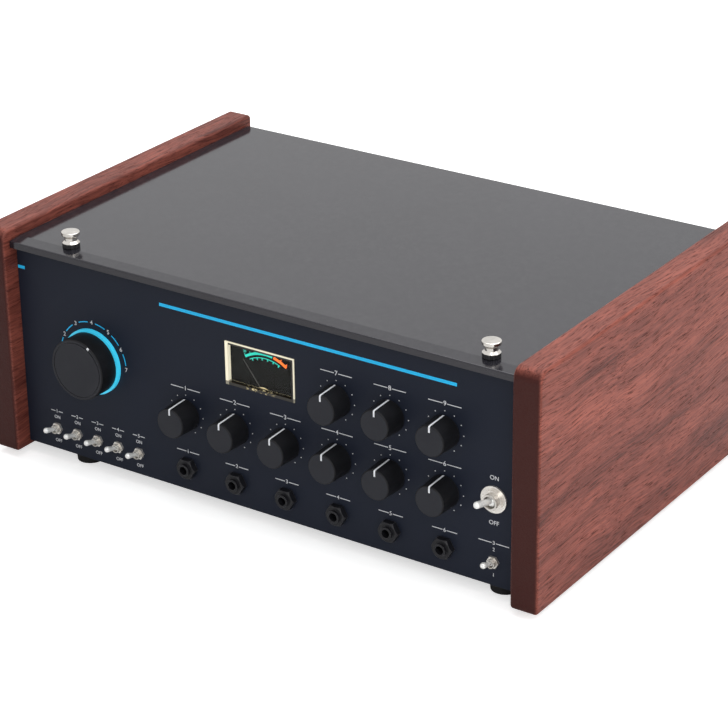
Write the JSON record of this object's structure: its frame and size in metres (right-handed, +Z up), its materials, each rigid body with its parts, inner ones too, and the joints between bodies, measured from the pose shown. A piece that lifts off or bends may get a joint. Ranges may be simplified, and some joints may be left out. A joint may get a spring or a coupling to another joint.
{
  "type": "tape echo unit",
  "caption": "Table-top tape echo unit: wooden cheeks, hinged lid over a tape deck, level meter, mode dial, rotary controls, toggle switches and jack sockets.",
  "frame": {"origin": "middle of the bounding box's base, on the table under the four feet", "axes": "+X to the right along the front panel, +Y towards the back, +Z up; the controls face -Y"},
  "size_m": [0.4724, 0.3151, 0.1868],
  "materials": {
    "case_paint": "satin black",
    "panel_paint": "matte blue-black",
    "lid_paint": "gloss black",
    "cheek_wood": "stained, satin varnish",
    "foot_rubber": "matte",
    "screw_steel": "zinc plated",
    "thumb_chrome": "bright with a dark fluted flange",
    "brass": "plain turned",
    "knob_plastic": "matte black",
    "ring_plastic": "satin light blue",
    "switch_metal": "plated",
    "nut_chrome": "bright nickel",
    "lever_chrome": "bright nickel",
    "body_plastic": "matte black",
    "jack_plastic": "matte black",
    "bezel_plastic": "cream, lit from behind",
    "meter_glass": "clear",
    "dial_card": "black printed card",
    "needle_metal": "black enamel",
    "deck_metal": "plain brushed",
    "head_chrome": "polished face",
    "drive_steel": "turned",
    "belt_rubber": "matte",
    "tape_film": "brown oxide",
    "tank_paint": "satin black",
    "cover_acrylic": "clear sheet",
    "board_laminate": "green solder mask",
    "core_iron": "varnished laminations",
    "inlet_plastic": "matte black"
  },
  "bodies": {
    "case": {"chassis_tray": "case_paint", "front_panel": "panel_paint", "rear_panel": "case_paint", "cheek_left": "cheek_wood", "cheek_right": "cheek_wood", "feet": "foot_rubber", "case_screws": "screw_steel", "thumbscrew_sockets": "brass", "case_hinge_leaves": "screw_steel", "mode_ring": "ring_plastic", "mode_switch": "switch_metal", "potentiometers": "switch_metal", "panel_nuts": "nut_chrome", "toggle_bodies": "body_plastic", "jack_bodies": "jack_plastic", "jack_nuts": "jack_plastic", "meter_case": "body_plastic", "meter_bezel": "bezel_plastic", "meter_window": "meter_glass", "meter_dial": "dial_card", "deck_plate": "deck_metal", "standoffs": "deck_metal", "tape_heads": "head_chrome", "deck_guides": "drive_steel", "drive_motor": "drive_steel", "drive_bracket": "deck_metal", "tape_loop": "tape_film", "drive_belt": "belt_rubber", "tape_tank": "tank_paint", "tank_cover": "cover_acrylic", "circuit_boards": "board_laminate", "transformer": "core_iron", "mains_inlet": "inlet_plastic"},
    "lid": {"lid": "lid_paint", "lid_hinge_leaves": "screw_steel"},
    "thumb_left": {"thumbscrew_left": "thumb_chrome"},
    "thumb_right": {"thumbscrew_right": "thumb_chrome"},
    "mode_dial": {"mode_knob": "knob_plastic"},
    "needle": {"meter_needle": "needle_metal"},
    "capstan": {"capstan_flywheel": "drive_steel"},
    "pulley": {"motor_pulley": "brass"},
    "pinch_lever": {"pinch_arm": "deck_metal"},
    "roller": {"pinch_roller": "belt_rubber"},
    "power_lever": {"toggle_power": "lever_chrome"},
    "input_volume_dial": {"knob_input_volume": "knob_plastic"},
    "chorus_rate_dial": {"knob_chorus_rate": "knob_plastic"},
    "chorus_depth_dial": {"knob_chorus_depth": "knob_plastic"},
    "reverb_volume_dial": {"knob_reverb_volume": "knob_plastic"},
    "speed_dial": {"knob_speed": "knob_plastic"},
    "echo_volume_dial": {"knob_echo_volume": "knob_plastic"},
    "bass_dial": {"knob_bass": "knob_plastic"},
    "treble_dial": {"knob_treble": "knob_plastic"},
    "feedback_dial": {"knob_feedback": "knob_plastic"},
    "direct_lever": {"toggle_direct": "lever_chrome"},
    "motor_lever": {"toggle_motor": "lever_chrome"},
    "sound_lever": {"toggle_sound": "lever_chrome"},
    "echo_lever": {"toggle_echo": "lever_chrome"},
    "chorus_lever": {"toggle_chorus": "lever_chrome"},
    "level_lever": {"toggle_level": "lever_chrome"}
  },
  "joints": [
    {"name": "lid_swing", "type": "hinge", "parent": "case", "child": "lid", "pos_m": [0, 0.15485, 0.1704], "axis": [-1, 0, 0], "range_deg": [0, 80]},
    {"name": "thumb_left_spin", "type": "hinge", "parent": "lid", "child": "thumb_left", "pos_m": [-0.1681, -0.12595, 0.1748], "axis": [0, 0, 1], "continuous": true},
    {"name": "thumb_right_spin", "type": "hinge", "parent": "lid", "child": "thumb_right", "pos_m": [0.1866, -0.12595, 0.1748], "axis": [0, 0, 1], "continuous": true},
    {"name": "mode_turn", "type": "hinge", "parent": "case", "child": "mode_dial", "pos_m": [-0.1473, -0.13315, 0.092], "axis": [0, 1, 0], "range_deg": [-120, 60]},
    {"name": "input_volume_turn", "type": "hinge", "parent": "case", "child": "input_volume_dial", "pos_m": [-0.0632, -0.13315, 0.071], "axis": [0, 1, 0], "range_deg": [-150, 150]},
    {"name": "chorus_rate_turn", "type": "hinge", "parent": "case", "child": "chorus_rate_dial", "pos_m": [-0.0195, -0.13315, 0.071], "axis": [0, 1, 0], "range_deg": [-150, 150]},
    {"name": "chorus_depth_turn", "type": "hinge", "parent": "case", "child": "chorus_depth_dial", "pos_m": [0.0242, -0.13315, 0.071], "axis": [0, 1, 0], "range_deg": [-150, 150]},
    {"name": "reverb_volume_turn", "type": "hinge", "parent": "case", "child": "reverb_volume_dial", "pos_m": [0.0679, -0.13315, 0.071], "axis": [0, 1, 0], "range_deg": [-150, 150]},
    {"name": "speed_turn", "type": "hinge", "parent": "case", "child": "speed_dial", "pos_m": [0.1116, -0.13315, 0.071], "axis": [0, 1, 0], "range_deg": [-150, 150]},
    {"name": "echo_volume_turn", "type": "hinge", "parent": "case", "child": "echo_volume_dial", "pos_m": [0.1553, -0.13315, 0.071], "axis": [0, 1, 0], "range_deg": [-150, 150]},
    {"name": "bass_turn", "type": "hinge", "parent": "case", "child": "bass_dial", "pos_m": [0.0679, -0.13315, 0.1157], "axis": [0, 1, 0], "range_deg": [-150, 150]},
    {"name": "treble_turn", "type": "hinge", "parent": "case", "child": "treble_dial", "pos_m": [0.1116, -0.13315, 0.1157], "axis": [0, 1, 0], "range_deg": [-150, 150]},
    {"name": "feedback_turn", "type": "hinge", "parent": "case", "child": "feedback_dial", "pos_m": [0.1553, -0.13315, 0.1157], "axis": [0, 1, 0], "range_deg": [-150, 150]},
    {"name": "direct_flip", "type": "hinge", "parent": "case", "child": "direct_lever", "pos_m": [-0.1861, -0.13535, 0.0275], "axis": [1, 0, 0], "range_deg": [0, 32]},
    {"name": "motor_flip", "type": "hinge", "parent": "case", "child": "motor_lever", "pos_m": [-0.1667, -0.13535, 0.0275], "axis": [1, 0, 0], "range_deg": [0, 32]},
    {"name": "sound_flip", "type": "hinge", "parent": "case", "child": "sound_lever", "pos_m": [-0.1473, -0.13535, 0.0275], "axis": [1, 0, 0], "range_deg": [0, 32]},
    {"name": "echo_flip", "type": "hinge", "parent": "case", "child": "echo_lever", "pos_m": [-0.1279, -0.13535, 0.0275], "axis": [1, 0, 0], "range_deg": [0, 32]},
    {"name": "chorus_flip", "type": "hinge", "parent": "case", "child": "chorus_lever", "pos_m": [-0.1085, -0.13535, 0.0275], "axis": [1, 0, 0], "range_deg": [0, 32]},
    {"name": "level_flip", "type": "hinge", "parent": "case", "child": "level_lever", "pos_m": [0.1942, -0.13535, 0.0283], "axis": [1, 0, 0], "range_deg": [0, 32]},
    {"name": "power_flip", "type": "hinge", "parent": "case", "child": "power_lever", "pos_m": [0.1942, -0.13565, 0.0756], "axis": [1, 0, 0], "range_deg": [0, 30]},
    {"name": "needle_swing", "type": "hinge", "parent": "case", "child": "needle", "pos_m": [0.0034, -0.12755, 0.1], "axis": [0, 1, 0], "range_deg": [0, 74], "stiffness_Nm_per_rad": 0.00002},
    {"name": "capstan_spin", "type": "hinge", "parent": "case", "child": "capstan", "pos_m": [0.121, -0.0377, 0.104], "axis": [0, 0, 1], "continuous": true},
    {"name": "pulley_spin", "type": "hinge", "parent": "case", "child": "pulley", "pos_m": [0.011, -0.0377, 0.104], "axis": [0, 0, 1], "continuous": true},
    {"name": "pinch_swing", "type": "hinge", "parent": "case", "child": "pinch_lever", "pos_m": [0.156, -0.0506, 0.132], "axis": [0, 0, 1], "range_deg": [0, 20]},
    {"name": "roller_spin", "type": "hinge", "parent": "pinch_lever", "child": "roller", "pos_m": [0.121, -0.0506, 0.132], "axis": [0, 0, 1], "continuous": true}
  ],
  "couplings": [
    {"joint": "pulley_spin", "follows": "capstan_spin", "ratio": 6.3333},
    {"joint": "roller_spin", "follows": "capstan_spin", "ratio": -0.33333}
  ]
}
